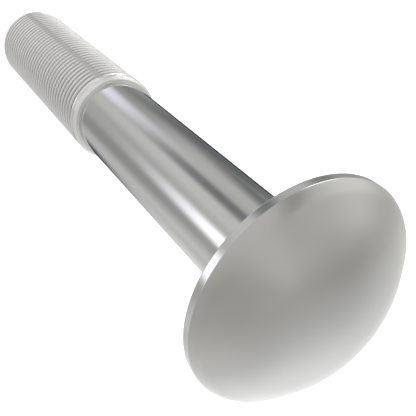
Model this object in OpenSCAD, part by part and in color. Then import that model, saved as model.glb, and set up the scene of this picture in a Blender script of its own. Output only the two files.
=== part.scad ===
// Carriage bolt: a broad domed head, a short square neck, a plain reduced shank
// and a fine thread. It stands on its threaded end, with its axis along Z and
// its origin at the middle of that end. All sizes are in millimetres.

/* [Whole bolt] */
// Length from the threaded end to the underside of the head
length = 120.65; // [90:0.05:160]

/* [Thread] */
// Diameter over the crests of the thread
thread_d = 19.05; // [18:0.05:24]
// Distance from one crest to the next
pitch = 1.5875; // [1:0.0125:2.5]
// Length of the threaded stretch, its plain shoulder included
thread_len = 56; // [30:0.1:80]
// Length of the plain shoulder, above the last groove
plain_len = 1.8; // [1.5:0.1:6]
// Length of the 45 degree point on the threaded end
point_len = 1.1; // [0.4:0.1:2]
// Length of the bevel on the shoulder, where the thread meets the shank
shoulder_len = 0.9; // [0.5:0.05:1.4]
// How far that bevel comes in from the crests
shoulder_drop = 0.55; // [0.1:0.05:0.6]

/* [Shank] */
// Diameter of the plain shank
shank_d = 16.7; // [12:0.05:17.5]
// Radius of the small fillets at both ends of the shank
shank_fillet = 0.25; // [0.1:0.05:1]

/* [Square neck] */
// Width of the neck across its flats
neck_w = 19.05; // [18:0.05:24]
// Depth of the neck under the head
neck_depth = 5.4; // [3:0.1:12]
// Radius of the neck's four corners
neck_corner = 2.4; // [1.2:0.1:5]
// Length of the 45 degree lead on the foot of the corners
neck_lead = 1.2; // [0.2:0.1:2]
// Radius of the fillet between the neck and the underside of the head
neck_round = 0.6; // [0.1:0.05:1]

/* [Head] */
// Diameter of the head
head_d = 37.2; // [32:0.1:46]
// Thickness of the rim, from the underside to the foot of the dome
rim_h = 1.55; // [0.8:0.05:4]
// Bevel that breaks the rim's lower edge
rim_break = 0.25; // [0.05:0.05:0.6]
// Radius of the crown of the dome
crown_r = 24.8; // [20:0.1:26]
// Radius of the rounded corner between the flank and the rim
corner_r = 4.2; // [1.5:0.05:6]
// Slope of the flank between the crown and the corner, in degrees
flank_a = 37.5; // [30:0.5:38]
// Slope of the corner where it ends on the rim, in degrees
rim_a = 70; // [60:1:90]

/* [Hidden] */
$fn = 240;

thread_r = thread_d / 2;
shank_r = shank_d / 2;
head_r = head_d / 2;
shoulder_r = thread_r - shoulder_drop;
// The grooves have the depth and the 60 degree sides of the thread. Their mouths
// leave an eighth of the pitch as the crest.
groove_depth = 0.6134 * pitch;
groove_slope = tan(30);
groove_root = 0.875 * pitch - 2 * groove_depth * groove_slope;
groove_top = thread_len - plain_len;
grooves = floor((groove_top - point_len) / pitch);
neck_z = length - neck_depth;
// Length of the neck's sides between its rounded corners
neck_side = neck_w - 2 * neck_corner;
// Reach of the neck's corners from the axis
neck_reach = neck_side / sqrt(2) + neck_corner;
// Fillets are no wider than the steps that they fill
thread_fillet = min(shank_fillet, shoulder_r - shank_r);
neck_fillet = min(shank_fillet, neck_w / 2 - shank_r);

// The head's section, from the rim inwards: the centre of the rounded corner,
// the point where it runs into the flank, and the point where the flank runs
// into the crown. The arcs and the flank are tangent at those two points.
rim_z = length + rim_h;
corner_c = [head_r - corner_r * sin(rim_a), rim_z - corner_r * cos(rim_a)];
corner_top = corner_c + corner_r * [sin(flank_a), cos(flank_a)];
crown_x = crown_r * sin(flank_a);
crown_z = corner_top.y + (corner_top.x - crown_x) * tan(flank_a);
crown_c = crown_z - crown_r * cos(flank_a);

// Section of the material that fills an inner corner at [x, z], sunk into both
// of its sides. It fills upwards from a step below, or downwards from one above.
module fillet_section(x, z, size, up = true)
    translate([x, z]) mirror([0, up ? 0 : 1]) difference() {
        translate([-size, -size]) square(2 * size);
        translate([size, size]) circle(size);
    }

// Sections of the thread's grooves, counted down from the plain shoulder. They
// are level rings at the thread's pitch. Each runs on past the crests, along
// its sloping sides.
module groove_sections() {
    deep = 2 * groove_depth;
    half_root = groove_root / 2;
    half_mouth = half_root + deep * groove_slope;
    for (i = [0:grooves - 1])
        translate([thread_r - groove_depth, groove_top - (i + 0.5) * pitch])
            polygon([[0, -half_root], [deep, -half_mouth], [deep, half_mouth], [0, half_root]]);
}

// Half of the section of the threaded stretch and the shank. Its core runs on
// inside the neck.
module stem_section() {
    difference() {
        polygon([
            [0, 0], [thread_r - point_len, 0], [thread_r, point_len],
            [thread_r, thread_len - shoulder_len], [shoulder_r, thread_len],
            [shank_r, thread_len], [shank_r, length], [0, length]
        ]);
        groove_sections();
    }
    fillet_section(shank_r, thread_len, thread_fillet);
    fillet_section(shank_r, neck_z, neck_fillet, up = false);
}

// Half of the section of the head
module head_section() {
    polygon([
        [0, length], [head_r - rim_break, length], [head_r, length + rim_break],
        [head_r, rim_z], corner_top, [crown_x, crown_z], [0, crown_z]
    ]);
    // Rounded corner, as the slice of its circle between the two slopes
    intersection() {
        translate(corner_c) circle(corner_r);
        polygon([
            corner_c,
            corner_c + 2 * corner_r * [sin(rim_a), cos(rim_a)],
            corner_c + 2 * corner_r * [sin(flank_a), cos(flank_a)]
        ]);
    }
    // Crown, as the cap of its circle above the end of the flank
    intersection() {
        translate([0, crown_c]) circle(crown_r);
        translate([0, crown_z]) square(crown_r);
    }
}

// Outline of the neck: a square with rounded corners
module neck_outline() {
    square([neck_w, neck_side], center = true);
    square([neck_side, neck_w], center = true);
    for (x = [-1, 1], y = [-1, 1])
        translate([x, y] * neck_side / 2) circle(neck_corner);
}

// The neck, with its corners cut back at the foot so that they start in a hole.
// It runs on inside the rim.
module neck() {
    tall = neck_depth + rim_h;
    foot_r = neck_reach - neck_lead;
    translate([0, 0, neck_z]) intersection() {
        linear_extrude(tall) neck_outline();
        cylinder(r1 = foot_r, r2 = foot_r + tall, h = tall);
    }
}

// Fillet all round the top of the neck: one run along each side, and a quarter
// turn round each corner
module seat_fillet() {
    for (turn = [0:90:270]) rotate(turn) {
        translate([neck_w / 2, 0, length]) rotate([90, 0, 0])
            linear_extrude(neck_side, center = true)
                fillet_section(0, 0, neck_round, up = false);
        translate([neck_side / 2, neck_side / 2, length])
            rotate_extrude(angle = 90)
                fillet_section(neck_corner, 0, neck_round, up = false);
    }
}

// The whole bolt, forged and threaded from one bar
module bolt() {
    color([0.76, 0.76, 0.75]) union() {
        rotate_extrude() stem_section();
        neck();
        seat_fillet();
        rotate_extrude() head_section();
    }
}

bolt();
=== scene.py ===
import math
import bpy
import numpy as np
from mathutils import Matrix


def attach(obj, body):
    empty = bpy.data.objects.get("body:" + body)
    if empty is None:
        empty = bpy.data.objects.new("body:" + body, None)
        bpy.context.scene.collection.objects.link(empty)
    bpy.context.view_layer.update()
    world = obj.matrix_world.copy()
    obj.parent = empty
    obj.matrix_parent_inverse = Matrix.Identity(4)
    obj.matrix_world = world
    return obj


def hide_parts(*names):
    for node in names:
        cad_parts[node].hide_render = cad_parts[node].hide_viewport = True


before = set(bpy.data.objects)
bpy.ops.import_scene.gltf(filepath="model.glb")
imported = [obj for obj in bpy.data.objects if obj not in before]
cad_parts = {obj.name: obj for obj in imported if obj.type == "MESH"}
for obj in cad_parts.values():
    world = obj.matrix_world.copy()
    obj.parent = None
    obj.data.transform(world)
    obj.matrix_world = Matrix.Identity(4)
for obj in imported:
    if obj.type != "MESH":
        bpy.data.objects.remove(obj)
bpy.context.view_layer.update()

# Sizes of the bolt, in millimetres
LENGTH = 120.65
THREAD_R, THREAD_LEN, POINT_LEN = 9.525, 56.0, 1.1
SHOULDER_LEN, SHOULDER_DROP = 0.9, 0.55
PITCH = 1.5875
SHANK_R, SHANK_FILLET = 8.35, 0.25
NECK_W, NECK_DEPTH, NECK_CORNER, NECK_LEAD, NECK_ROUND = 19.05, 5.4, 2.4, 1.2, 0.6
HEAD_R, RIM_H, RIM_BREAK = 18.6, 1.55, 0.25
CROWN_R, CORNER_R = 24.8, 4.2
FLANK_A, RIM_A = math.radians(37.5), math.radians(70)
# How far the small edges are softened, beyond the CAD's plain corners
SHOULDER_ROUND, FOOT_ROUND, LEAD_SOFT, POINT_SOFT = 0.22, 0.18, 0.12, 0.06

NECK_Z, RIM_Z, BEVEL_FOOT = LENGTH - NECK_DEPTH, LENGTH + RIM_H, THREAD_LEN - SHOULDER_LEN
COLUMNS = 144
TURN = 2 * np.pi * np.arange(COLUMNS) / COLUMNS
# Radii of the rings of points on the end face, and the angle from the axis of the crown's last ring
END_RADII, POLE_ANGLE = [0.5, 2.5, 5, 7.4, 8.2, 8.36], 0.01


def arc(centre, radius, start, end, steps):
    """Points of an arc in the (r, z) plane: centre + radius * (sin a, cos a), with a from start to end."""
    a = np.linspace(start, end, steps)
    return np.column_stack([centre[0] + radius * np.sin(a), centre[1] + radius * np.cos(a)])


def softened(corners, radii, steps=4):
    """The line through the corners, with each corner turned into an arc of its radius.

    At a corner between unit directions u (in) and v (out), the arc runs from corner - t u to corner + t v,
    with t = radius * tan(half the turn). It is drawn as the circle about the point that lies radius away
    from both sides. A radius of 0 keeps the corner.
    """
    corners = np.asarray(corners, float)
    line = [corners[:1]]
    for before, corner, after, radius in zip(corners, corners[1:], corners[2:], radii[1:]):
        u = (corner - before) / np.linalg.norm(corner - before)
        v = (after - corner) / np.linalg.norm(after - corner)
        half = math.acos(max(-1, min(1, u @ v))) / 2
        if radius == 0 or half < 1e-4:
            line.append(corner[None])
            continue
        middle = corner + (v - u) / np.linalg.norm(v - u) * radius / math.cos(half)
        first = corner - u * radius * math.tan(half)
        side = np.sign(u[0] * v[1] - u[1] * v[0])
        a = side * 2 * half * np.linspace(0, 1, steps + 1)
        x, y = first - middle
        line.append(middle + np.column_stack([x * np.cos(a) - y * np.sin(a), x * np.sin(a) + y * np.cos(a)]))
    line.append(corners[-1:])
    return np.concatenate(line)


def guided(line, gap=0.12, longest=4.0):
    """The line with a point a small gap inside each end of every long run, and long runs divided evenly.

    The close points keep the shading flat on the runs, up to the soft corners between them.
    """
    out = [line[:1]]
    for a, b in zip(line, line[1:]):
        run = np.linalg.norm(b - a)
        if run > 5 * gap:
            parts = max(1, math.ceil((run - 2 * gap) / longest))
            share = np.concatenate([gap / run + (1 - 2 * gap / run) * np.linspace(0, 1, parts + 1), [1]])
            out.append(a + (b - a) * share[:, None])
        else:
            out.append(b[None])
    return np.concatenate(out)


def turned(line):
    """Rings of a turned surface.

    Each (r, z) point of the line becomes (r cos t, r sin t, z) for every t in TURN.
    """
    r, z = line[:, :1], line[:, 1:]
    return np.stack([r * np.cos(TURN), r * np.sin(TURN), z + 0 * TURN], axis=-1)


def neck_ring(offset, z, reach):
    """A ring on the neck: a square with rounded corners, grown by offset and kept within reach of the axis.

    Each quarter starts in the middle of a side. A quarter of its columns lie on that side, half of them on
    the corner's arc, and a quarter on the next side. Beyond the reach a point is drawn in towards the axis,
    by a smooth minimum, which gives the soft lead at the foot of the corners.
    """
    side, corner = NECK_W / 2 - NECK_CORNER, NECK_CORNER + offset
    s = np.arange(COLUMNS // 4) / (COLUMNS // 4)
    a = np.clip((s - 0.25) * 2, 0, 1) * np.pi / 2
    x = side * np.clip((1 - s) * 4, 0, 1) + corner * np.cos(a)
    y = side * np.clip(s * 4, 0, 1) + corner * np.sin(a)
    x, y = np.concatenate([x, -y, -x, y]), np.concatenate([y, x, -y, -x])
    out = np.hypot(x, y)
    limited = smooth_min(out, reach, LEAD_SOFT)
    return np.stack([x * limited / out, y * limited / out, z + 0 * x], axis=-1)


def smooth_min(a, b, soft):
    """The smaller of a and b, with the corner between them rounded over a distance soft."""
    h = np.clip(0.5 + (b - a) / (2 * soft), 0, 1)
    return b + (a - b) * h - soft * h * (1 - h)


def blended(first, last, shares):
    """Rings between two rings: first + (last - first) * share, for each share."""
    return first + (last - first) * np.asarray(shares)[:, None, None]


# One pitch of the thread's section, from crest to crest: the place along the pitch, and the depth as a
# share of the full depth. The flanks stand at 60 degrees to each other, the crests are flat and the roots
# rounded.
THREAD_DEPTH = 0.6134 * PITCH
SECTION = np.array([
    [0.000, 0.000], [0.052, 0.000], [0.080, 0.045], [0.245, 0.500], [0.385, 0.885], [0.425, 0.965],
    [0.475, 1.000], [0.525, 1.000], [0.575, 0.965], [0.615, 0.885], [0.755, 0.500], [0.920, 0.045],
    [0.948, 0.000],
])
# Heights where the thread starts to run out, where it has run out and where its strip ends
RUNOUT_START, RUNOUT_END, THREAD_TOP = 53.1, 54.3, 54.5


def thread_strip():
    """The threaded stretch as one strip, a pitch wide and wound round the axis, from the end face upwards.

    Row i and column c lie at the angle TURN[c] and the height of the section's point plus the share
    c / COLUMNS of the pitch. So each row follows the helix of one point of the section, and a turn further
    on it meets the row that lies one whole section above. The radius is the crests' radius less the
    section's depth. The depth fades to nothing in the run-out, and a smooth minimum keeps the radius inside
    the 45 degree point. Rows that pass the end face or the top are drawn back to it, and their points there
    are joined into one plain ring. Returns the points, the quads, the triangles and the two rings.
    """
    per_turn = len(SECTION)
    turns = math.ceil(THREAD_TOP / PITCH) + 2
    rows = turns * per_turn
    step = np.tile(SECTION[:, 0], turns) + np.repeat(np.arange(turns), per_turn)
    depth = np.tile(SECTION[:, 1], turns)[:, None]
    z = (step[:, None] - 1 + np.arange(COLUMNS) / COLUMNS) * PITCH
    low = (z <= 0).sum(axis=0) - 1
    high = (z < THREAD_TOP).sum(axis=0)
    z = np.clip(z, 0, THREAD_TOP)
    fade = np.clip((RUNOUT_END - z) / (RUNOUT_END - RUNOUT_START), 0, 1)
    fade = fade * fade * (3 - 2 * fade)
    r = THREAD_R - THREAD_DEPTH * depth * fade
    point = THREAD_R - POINT_LEN + z
    r = np.where(z < 2 * POINT_LEN, smooth_min(r, point, POINT_SOFT), r)
    r = np.where(z == 0, THREAD_R - POINT_LEN, r)
    points = np.stack([r * np.cos(TURN), r * np.sin(TURN), z], axis=-1).reshape(-1, 3)

    row = np.clip(np.arange(rows)[:, None], low, high)
    index = row * COLUMNS + np.arange(COLUMNS)
    beyond = np.concatenate([index[per_turn:, :1], np.repeat(index[-1:, :1], per_turn, axis=0)])
    index = np.concatenate([index, beyond], axis=1)
    a, b, c, d = index[:-1, :-1], index[:-1, 1:], index[1:, 1:], index[1:, :-1]
    a, b, c, d = (v.ravel() for v in (a, b, c, d))
    whole = (a != d) & (b != c)
    left, right = (a != d) & (b == c), (a == d) & (b != c)
    quads = np.stack([a, b, c, d], axis=1)[whole]
    triangles = np.concatenate([np.stack([a, b, d], axis=1)[left], np.stack([a, b, c], axis=1)[right]])
    columns = np.arange(COLUMNS)
    return points, quads, triangles, low * COLUMNS + columns, high * COLUMNS + columns


def ring_quads(lower, upper):
    """Quads between two rings of point numbers. They face outwards when the second ring is the upper one."""
    return np.stack([lower, np.roll(lower, -1), np.roll(upper, -1), upper], axis=1)


def placed(name, data, matrix=Matrix()):
    """A new object of the data in the scene, placed by the matrix."""
    made = bpy.data.objects.new(name, data)
    made.matrix_world = matrix
    bpy.context.scene.collection.objects.link(made)
    return made


def mesh_piece(name, points, quads, triangles):
    """A piece from points in millimetres, quads and triangles. Points that no face uses are left out."""
    used = np.zeros(len(points), bool)
    used[quads.ravel()] = used[triangles.ravel()] = True
    number = np.cumsum(used) - 1
    corners = number[np.concatenate([quads.ravel(), triangles.ravel()])]
    sizes = np.concatenate([np.full(len(quads), 4), np.full(len(triangles), 3)])
    mesh = bpy.data.meshes.new(name)
    mesh.vertices.add(int(used.sum()))
    mesh.vertices.foreach_set("co", (points[used] / 1000).ravel())
    mesh.loops.add(len(corners))
    mesh.loops.foreach_set("vertex_index", corners.astype(np.int32))
    mesh.polygons.add(len(sizes))
    mesh.polygons.foreach_set("loop_start", np.concatenate([[0], np.cumsum(sizes)[:-1]]).astype(np.int32))
    mesh.update(calc_edges=True)
    mesh.validate()
    mesh.shade_smooth()
    return placed(name, mesh)


def bolt_rings():
    """Rings of the plain surfaces above the thread, from the top of the thread's strip to the crown.

    The shoulder, the shank and the head are turned from their sections. The neck is a stack of rounded
    squares, and the flat annuli below and above it blend from circle to square and back.
    """
    shank = softened(
        [[THREAD_R, THREAD_TOP], [THREAD_R, BEVEL_FOOT], [THREAD_R - SHOULDER_DROP, THREAD_LEN],
         [SHANK_R, THREAD_LEN], [SHANK_R, NECK_Z], [SHANK_R + SHANK_FILLET + 0.1, NECK_Z]],
        [0, SHOULDER_ROUND, SHOULDER_ROUND, SHANK_FILLET, SHANK_FILLET, 0], steps=5)
    shank = turned(guided(shank)[1:])

    foot_reach = (NECK_W / 2 - NECK_CORNER) * math.sqrt(2) + NECK_CORNER - NECK_LEAD
    a = np.linspace(0, np.pi / 2, 5)
    offsets = np.concatenate([-FOOT_ROUND * (1 - np.sin(a)), np.zeros(12), NECK_ROUND * (1 - np.cos(a[1:]))])
    lead_top, fillet_foot = NECK_LEAD + 0.2, NECK_DEPTH - NECK_ROUND
    heights = np.concatenate([
        FOOT_ROUND * (1 - np.cos(a)), np.linspace(FOOT_ROUND, lead_top, 9)[1:],
        np.linspace(lead_top, fillet_foot, 5)[1:], fillet_foot + NECK_ROUND * np.sin(a[1:])])
    neck = np.stack([neck_ring(o, NECK_Z + h, foot_reach + h + min(o, 0)) for o, h in zip(offsets, heights)])

    corner = (HEAD_R - CORNER_R * math.sin(RIM_A), RIM_Z - CORNER_R * math.cos(RIM_A))
    corner_line = arc(corner, CORNER_R, RIM_A, FLANK_A, 9)
    crown_x = CROWN_R * math.sin(FLANK_A)
    crown_z = corner_line[-1, 1] + (corner_line[-1, 0] - crown_x) * math.tan(FLANK_A)
    crown_line = arc((0, crown_z - CROWN_R * math.cos(FLANK_A)), CROWN_R, FLANK_A, POLE_ANGLE, 40)
    rim = softened(
        [[HEAD_R - RIM_BREAK - 0.3, LENGTH], [HEAD_R - RIM_BREAK, LENGTH], [HEAD_R, LENGTH + RIM_BREAK],
         [HEAD_R, RIM_Z], corner_line[1]], [0, 0.1, 0.12, 0.25, 0])
    flank = corner_line[-1] + (crown_line[0] - corner_line[-1]) * np.linspace(0, 1, 5)[1:-1, None]
    head = turned(np.concatenate([guided(rim), corner_line[2:], flank, crown_line]))

    below = blended(shank[-1], neck[0], [0.35, 0.7, 0.9])
    seat = blended(neck[-1], head[0], [0.02, 0.2, 0.45, 0.75, 0.98])
    return np.concatenate([shank, below, neck, seat, head])


def make_bolt():
    """The whole bolt as one closed surface: end face, thread, shoulder, shank, neck and head."""
    points, quads, triangles, low, high = thread_strip()
    end_rings = turned(np.array([[radius, 0] for radius in END_RADII]))
    upper = bolt_rings()
    count = len(points)
    number = count + np.arange(len(end_rings) * COLUMNS).reshape(len(end_rings), COLUMNS)
    upper_number = number[-1, -1] + 1 + np.arange(len(upper) * COLUMNS).reshape(len(upper), COLUMNS)
    foot, top = upper_number[-1, -1] + 1, upper_number[-1, -1] + 2
    poles = np.array([[0, 0, 0], [0, 0, upper[-1, 0, 2]]])
    points = np.concatenate([points, end_rings.reshape(-1, 3), upper.reshape(-1, 3), poles])
    rings = [*number, low], [high, *upper_number]
    quads = np.concatenate([quads] + [ring_quads(a, b) for stack in rings for a, b in zip(stack, stack[1:])])
    first, last = number[0], upper_number[-1]
    triangles = np.concatenate([
        triangles,
        np.stack([np.roll(first, -1), first, np.full(COLUMNS, foot)], axis=1),
        np.stack([last, np.roll(last, -1), np.full(COLUMNS, top)], axis=1)])
    return mesh_piece("forged_bolt", points, quads, triangles)


bolt = make_bolt()
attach(bolt, "root")
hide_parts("bolt")


class Value:
    """A number or colour socket of a node tree that can be used in Python arithmetic.

    An expression such as 1 - mask * 0.3 adds the Math nodes that compute it.
    """

    def __init__(self, tree, socket):
        self.tree, self.socket = tree, socket

    def node(self, kind, inputs, output=0, **settings):
        """Adds a node: its settings first, then a value or a link for each named or numbered input."""
        made = self.tree.nodes.new(kind)
        for name, setting in settings.items():
            setattr(made, name, setting)
        for name, value in inputs.items():
            if isinstance(value, Value):
                self.tree.links.new(value.socket, made.inputs[name])
            else:
                made.inputs[name].default_value = value
        return Value(self.tree, made.outputs[output])

    def math(self, operation, *values):
        return self.node("ShaderNodeMath", dict(enumerate((self, *values))), operation=operation)

    def __add__(self, other): return self.math("ADD", other)
    def __radd__(self, other): return self.math("ADD", other)
    def __sub__(self, other): return self.math("SUBTRACT", other)
    def __rsub__(self, other): return self.math("MULTIPLY_ADD", -1, other)
    def __mul__(self, other): return self.math("MULTIPLY", other)
    def __rmul__(self, other): return self.math("MULTIPLY", other)
    def __truediv__(self, other): return self.math("DIVIDE", other)
    def __pow__(self, other): return self.math("POWER", other)

    def rise(self, low, high):
        """0 below low and 1 above high, with a smooth step between them."""
        return self.node("ShaderNodeMapRange", {"Value": self, "From Min": low, "From Max": high},
                         interpolation_type="SMOOTHSTEP")

    def parts(self):
        """The X, Y and Z of a vector."""
        first = self.node("ShaderNodeSeparateXYZ", {0: self})
        outputs = first.socket.node.outputs
        return [Value(self.tree, outputs[i]) for i in range(3)]


def new_material(name):
    """A node material's shader node, and the position on the bolt in millimetres."""
    made = bpy.data.materials.new(name)
    made.use_nodes = True
    tree = made.node_tree
    place = Value(tree, tree.nodes.new("ShaderNodeTexCoord").outputs["Object"])
    place = place.node("ShaderNodeVectorMath", {0: place, "Scale": 1000.0}, operation="SCALE")
    return made, tree.nodes["Principled BSDF"], place


def stretched(place, x, y, z, turn=(0, 0, 0)):
    """The place turned by angles in degrees, then scaled along each axis: a small scale draws it out."""
    angles = tuple(math.radians(v) for v in turn)
    place = place.node("ShaderNodeMapping", {"Vector": place, "Rotation": angles})
    return place.node("ShaderNodeMapping", {"Vector": place, "Scale": (x, y, z)})


def noise(place, scale, detail=2.0, roughness=0.5):
    """Noise about 0, from -0.5 to 0.5, with scale cells to the millimetre."""
    made = place.node("ShaderNodeTexNoise", {
        "Vector": place, "Scale": scale, "Detail": detail, "Roughness": roughness})
    return made - 0.5


def hairlines(place, turn):
    """Fine scratches at an angle round the axis: where stretched noise passes zero, in scattered patches."""
    field = noise(stretched(place, 0.03, 0.5, 0.5, (0, 0, turn)), 0.8, 1.0).math("ABSOLUTE")
    patches = noise(stretched(place, 1, 1, 1, (0, turn, turn)), 0.13, 1.0).rise(0.06, 0.16)
    return (1 - field.rise(0.002, 0.012)) * patches


def band(value, middle, half, soft=0.06):
    """1 within half of the middle, falling smoothly to 0 over a further distance soft on either side."""
    return 1 - (value - middle).math("ABSOLUTE").rise(half, half + soft)


# Azimuth of the thread's painted reflection, a grey lengthwise streak, in degrees from +Y towards +X
STREAK_AZIMUTH = 207
# Height of one unit of the finish's relief, in metres
RELIEF = 2.0e-6


def steel_finish():
    """Bright bare steel, as the work on each surface has left it.

    The forged dome is satin, with a soft mottle, faint wiping streaks, hairlines and a few small dents. The
    rim is turned and the shank drawn, both polished, with fine lines round the one and along the other. The
    rolled thread is paler, with painted shade darkening its roots and a painted reflection, a faint grey
    lengthwise streak, along one side. The ring above its run-out is a little darker, the edge over that is
    brighter, and the flat step beside the shank is pale again. The end face is faced with rings. The neck
    and the head's underside are as forged: duller, with scale marks.
    """
    made, shader, place = new_material("bright_steel")
    x, y, z = place.parts()
    r = (x * x + y * y).math("SQRT")

    dome = z.rise(RIM_Z - 0.02, RIM_Z + 0.06)
    head = z.rise(LENGTH + 0.03, LENGTH + 0.12)
    rim = head * (1 - dome)
    forged = z.rise(NECK_Z - 0.1, NECK_Z + 0.1) * (1 - head)
    thread = 1 - z.rise(THREAD_LEN - 0.16, THREAD_LEN - 0.08)
    step = (1 - thread) * (1 - z.rise(THREAD_LEN + 0.01, THREAD_LEN + 0.06))
    crest_edge = band(z, BEVEL_FOOT, 0.06)
    plain_ring = z.rise(THREAD_TOP - 0.15, THREAD_TOP) * (1 - z.rise(BEVEL_FOOT - 0.1, BEVEL_FOOT))
    end = 1 - z.rise(0.02, 0.1)
    shank = (1 - forged - head - thread - step).math("MAXIMUM", 0.0)
    groove = (1 - z.rise(THREAD_TOP - 0.1, THREAD_TOP + 0.1)) * (1 - end)
    depth = ((THREAD_R - r) / THREAD_DEPTH).math("MAXIMUM", 0.0).math("MINIMUM", 1.0) * groove

    # Painted reflection: a grey lengthwise band along the thread at that azimuth, which also weakens the
    # painted root shade there
    streak_x, streak_y = math.sin(math.radians(STREAK_AZIMUTH)), math.cos(math.radians(STREAK_AZIMUTH))
    painted_streak = band(x * streak_y - y * streak_x, 0, 0.4, 0.6) * (x * streak_x + y * streak_y).rise(0, 1) * groove

    mottle = noise(place, 0.12, 2.0)
    cloud = noise(place, 0.05, 2.0)
    grain = noise(place, 2.2, 3.0, 0.6)
    along = noise(stretched(place, 1, 1, 0.02), 1.3, 3.0, 0.6)
    rounds = x.node("ShaderNodeCombineXYZ", {0: r + z, 1: x * 0.03, 2: y * 0.03})
    turning = noise(rounds, 3.5, 3.0, 0.6)
    wiping = noise(stretched(place, 0.05, 1, 1, (0, 0, 46)), 0.9, 3.0, 0.6)
    scratches = hairlines(place, 20) + hairlines(place, 75) + hairlines(place, 128)
    dents = 1 - place.node("ShaderNodeTexVoronoi", {"Vector": place, "Scale": 0.22}).rise(0.05, 0.16)
    scale_marks = noise(place, 0.75, 4.0, 0.62)

    tone = 0.72 + mottle * 0.02 * dome + grain * 0.006
    # Painted shade: the thread's roots are darkened by their depth, standing in for the shade in the grooves
    painted_root_shade = depth.rise(0.08, 0.5) * (1 - painted_streak * 0.85) * 0.56
    # The thread's tone is lowered by the painted root shade and by the painted reflection streak
    tone = tone + thread * (0.23 + turning * 0.05 - painted_root_shade - painted_streak * 0.26)
    tone = tone + step * 0.2 - plain_ring * 0.12
    tone = tone + along * shank * 0.03 + turning * rim * 0.04
    tone = tone - forged * (0.05 - scale_marks * 0.22)
    tone = tone - scratches * (dome * 0.006 + shank * 0.02)
    warmth = cloud * 0.03 * dome + thread * 0.005
    colour = tone.node("ShaderNodeCombineColor", {0: tone * (warmth + 1), 1: tone, 2: tone * (1 - warmth)})

    rough = 0.09 + dome * 0.15 + thread * (1 - crest_edge * 0.8) * 0.21 + step * 0.05 + forged * 0.25
    rough = rough + dome * (mottle * 0.03 + wiping * 0.05) + grain * 0.012 + shank * along * 0.05
    rough = rough + turning * (rim * 0.07 + end * 0.06) + forged * scale_marks * 0.2
    rough = rough + scratches * (0.05 - dome * 0.04)
    metal = 1 - thread * (1 - end) * (1 - crest_edge * 0.7) * 0.4 - step * 0.25

    height = along * shank * 0.5 + turning * (rim * 0.5 + end * 1.2) + mottle * dome * 6
    height = height + forged * scale_marks * 14 - scratches * (0.3 - dome * 0.24) - dents * dome * 0.8
    bump = height.node("ShaderNodeBump", {"Height": height, "Strength": 1.0, "Distance": RELIEF})
    for value, name in ((colour, "Base Color"), (rough, "Roughness"), (metal, "Metallic"), (bump, "Normal")):
        value.tree.links.new(value.socket, shader.inputs[name])
    return made


bolt.data.materials.append(steel_finish())


def camera_only(piece):
    """The piece is seen by the camera and neither reflects in the steel nor shades it."""
    piece.visible_glossy = piece.visible_diffuse = piece.visible_shadow = False
    piece.visible_transmission = piece.visible_volume_scatter = False


def add_floor():
    """A pale disc under the bolt, as white as what lies beyond it. From below it can be seen through."""
    radius, sides = 3.0, 96
    t = 2 * np.pi * np.arange(sides) / sides
    outline = np.column_stack([radius * np.cos(t), radius * np.sin(t), 0 * t])
    mesh = bpy.data.meshes.new("floor")
    mesh.from_pydata(outline.tolist(), [], [list(range(sides))])
    floor = placed("floor", mesh)
    made = bpy.data.materials.new("pale_floor")
    made.use_nodes = True
    shader = made.node_tree.nodes["Principled BSDF"]
    shader.inputs["Base Color"].default_value = (0.9, 0.9, 0.9, 1)
    shader.inputs["Roughness"].default_value = 1
    shader.inputs["Specular IOR Level"].default_value = 0
    shader.inputs["Emission Color"].default_value = (1, 1, 1, 1)
    shader.inputs["Emission Strength"].default_value = 0.62
    below = Value(made.node_tree, made.node_tree.nodes.new("ShaderNodeNewGeometry").outputs["Backfacing"])
    clear = below.node("ShaderNodeBsdfTransparent", {})
    both = below.node("ShaderNodeMixShader", {0: below, 1: Value(below.tree, shader.outputs[0]), 2: clear})
    below.tree.links.new(both.socket, below.tree.nodes["Material Output"].inputs["Surface"])
    mesh.materials.append(made)
    camera_only(floor)


add_floor()

# The studio's lights, as the steel sees them. Each is a soft-edged panel at an azimuth (from +Y towards +X)
# and elevation, with half its width and height, all in degrees, then its strength and its tint. One with a
# strength below 0 is a dark flag, which takes light away. The camera stands at azimuth 180.
ROOM_LIGHT = (0.575, 0.57, 0.55)
WHITE, WARM, COOL, BLUE = (1, 1, 1), (1.04, 1.0, 0.92), (0.97, 0.98, 1.08), (0.91, 0.94, 1.15)
# The tint of the low flags, which keeps what is left of the room's warm light neutral
CLOTH = (1.03, 1.0, 0.94)
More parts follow.
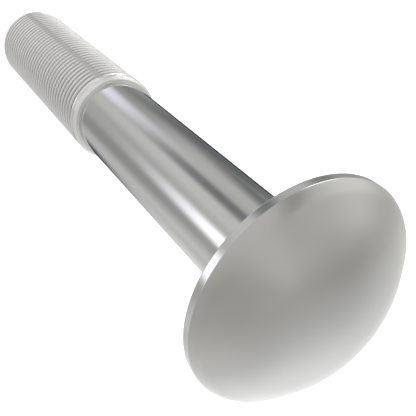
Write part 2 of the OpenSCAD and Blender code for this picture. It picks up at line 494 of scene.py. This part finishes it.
# The least light that is left where flags overlap
DARKEST = 0.03
PANELS = [
    # A window beyond the bolt, and a lower light under it: the light lower half of the dome
    (15, -5, 45, 65, 0.38, WHITE),
    (12, -26, 24, 20, 0.20, WHITE),
    # A soft light on the -X side: the lighter zone at the dome's upper right
    (-78, 0, 25, 40, 0.24, WARM),
    # Two cool lights near the ground: the bluish streaks along the shank
    (143, -36, 13, 13, 1.30, COOL),
    (-133, -72, 18, 15, 0.80, BLUE),
    # Two weak ones beside them: the lighter bands at the shank's left edge and middle
    (92, -42, 16, 12, 0.15, COOL),
    (-172, -48, 16, 14, 0.10, WHITE),
    # A small strong light that shows only in the narrow edge over the last crest: its glint
    (-98, -27, 15, 6, 6.00, WHITE),
    # Flags overhead and beside the camera: the dome's darker middle and left edge
    (0, 70, 110, 40, -0.18, WHITE),
    (145, 45, 25, 50, -0.09, WHITE),
    # Upright flags at both sides and beyond the bolt: the dome's darker bands
    (115, 10, 28, 70, -0.12, WHITE),
    (-48, 15, 16, 45, -0.12, WHITE),
    (-131, 10, 12, 45, -0.24, WHITE),
    (-12, 18, 18, 35, -0.12, WHITE),
    (48, 25, 13, 20, -0.10, WHITE),
    # Flags near the ground: the dark bands along the shank and round the rim
    (-147, -46, 12, 9, -0.35, CLOTH),
    (-50, -48, 40, 12, -0.43, CLOTH),
    (-18, -50, 15, 22, -0.46, CLOTH),
    (-88, -38, 14, 9, -0.25, CLOTH),
    (-95, -62, 28, 9, -0.20, CLOTH),
    (112, -60, 22, 16, -0.18, CLOTH),
    (155, -60, 25, 12, -0.08, CLOTH),
    # Dark ground beyond the bolt: it ends the window's reflection along the shank's left edge
    (12, -46, 24, 14, -0.18, CLOTH),
    (22, -74, 34, 20, -1.30, CLOTH),
]


def studio():
    """The world's light: an even room plus the panels.

    A panel's light is its strength times exp(-|a|^3 - |e|^3), with a and e the azimuth and elevation from
    its middle, as shares of its half width and half height. The camera itself sees plain white beyond the
    floor.
    """
    made = bpy.data.worlds.new("studio")
    made.use_nodes = True
    tree = made.node_tree
    x, y, z = Value(tree, tree.nodes.new("ShaderNodeTexCoord").outputs["Generated"]).parts()
    azimuth = x.math("ARCTAN2", y) * (180 / math.pi)
    elevation = z.math("ARCSINE") * (180 / math.pi)
    light = ROOM_LIGHT
    for centre, height, wide, tall, strength, tint in PANELS:
        across = ((azimuth - centre).math("WRAP", 180.0, -180.0) * (1 / wide)).math("ABSOLUTE") ** 3
        up = ((elevation - height) * (1 / tall)).math("ABSOLUTE") ** 3
        panel = (0 - across - up).math("EXPONENT")
        light = panel.node("ShaderNodeVectorMath", {
            0: panel, 1: tuple(strength * part for part in tint), 2: light}, operation="MULTIPLY_ADD")
    light = light.node("ShaderNodeVectorMath", {0: light, 1: (DARKEST,) * 3}, operation="MAXIMUM")
    seen = light.node("ShaderNodeLightPath", {}, "Is Camera Ray")
    lit = light.node("ShaderNodeBackground", {"Color": light})
    plain = light.node("ShaderNodeBackground", {"Color": (1, 1, 1, 1)})
    both = light.node("ShaderNodeMixShader", {0: seen, 1: lit, 2: plain})
    tree.links.new(both.socket, tree.nodes["World Output"].inputs["Surface"])
    return made


def fill_lamp(name, azimuth, elevation, strength, colour):
    """A broad lamp at an azimuth and elevation in degrees. It lights only what is not mirror-like."""
    data = bpy.data.lights.new(name, "SUN")
    data.energy, data.color, data.angle = strength, colour, math.radians(25)
    lamp = placed(name, data, Matrix.Rotation(math.radians(180 - azimuth), 4, "Z")
                  @ Matrix.Rotation(math.radians(90 - elevation), 4, "X"))
    lamp.visible_glossy = False


fill_lamp("side_fill", 250, 40, 0.35, (1.0, 1.0, 1.0))
fill_lamp("near_fill", 185, 50, 1.0, (0.97, 0.97, 1.0))
bpy.context.scene.world = studio()
bpy.context.scene.view_settings.view_transform = "Standard"

# The camera, at the photo's angle: its place in metres, how far it looks down and how far it is rolled in
# degrees, and its lens and sensor in millimetres
CAMERA_PLACE, CAMERA_DOWN, CAMERA_ROLL = (0.000239, -0.07298, 0.171088), 45.873, 133.489
CAMERA_LENS, CAMERA_SENSOR = 53.106, 36
camera = placed("camera", bpy.data.cameras.new("camera"), Matrix.Translation(CAMERA_PLACE)
                @ Matrix.Rotation(math.radians(90 - CAMERA_DOWN), 4, "X")
                @ Matrix.Rotation(math.radians(CAMERA_ROLL), 4, "Z"))
camera.data.lens, camera.data.sensor_width, camera.data.clip_start = CAMERA_LENS, CAMERA_SENSOR, 0.005
bpy.context.scene.camera = camera
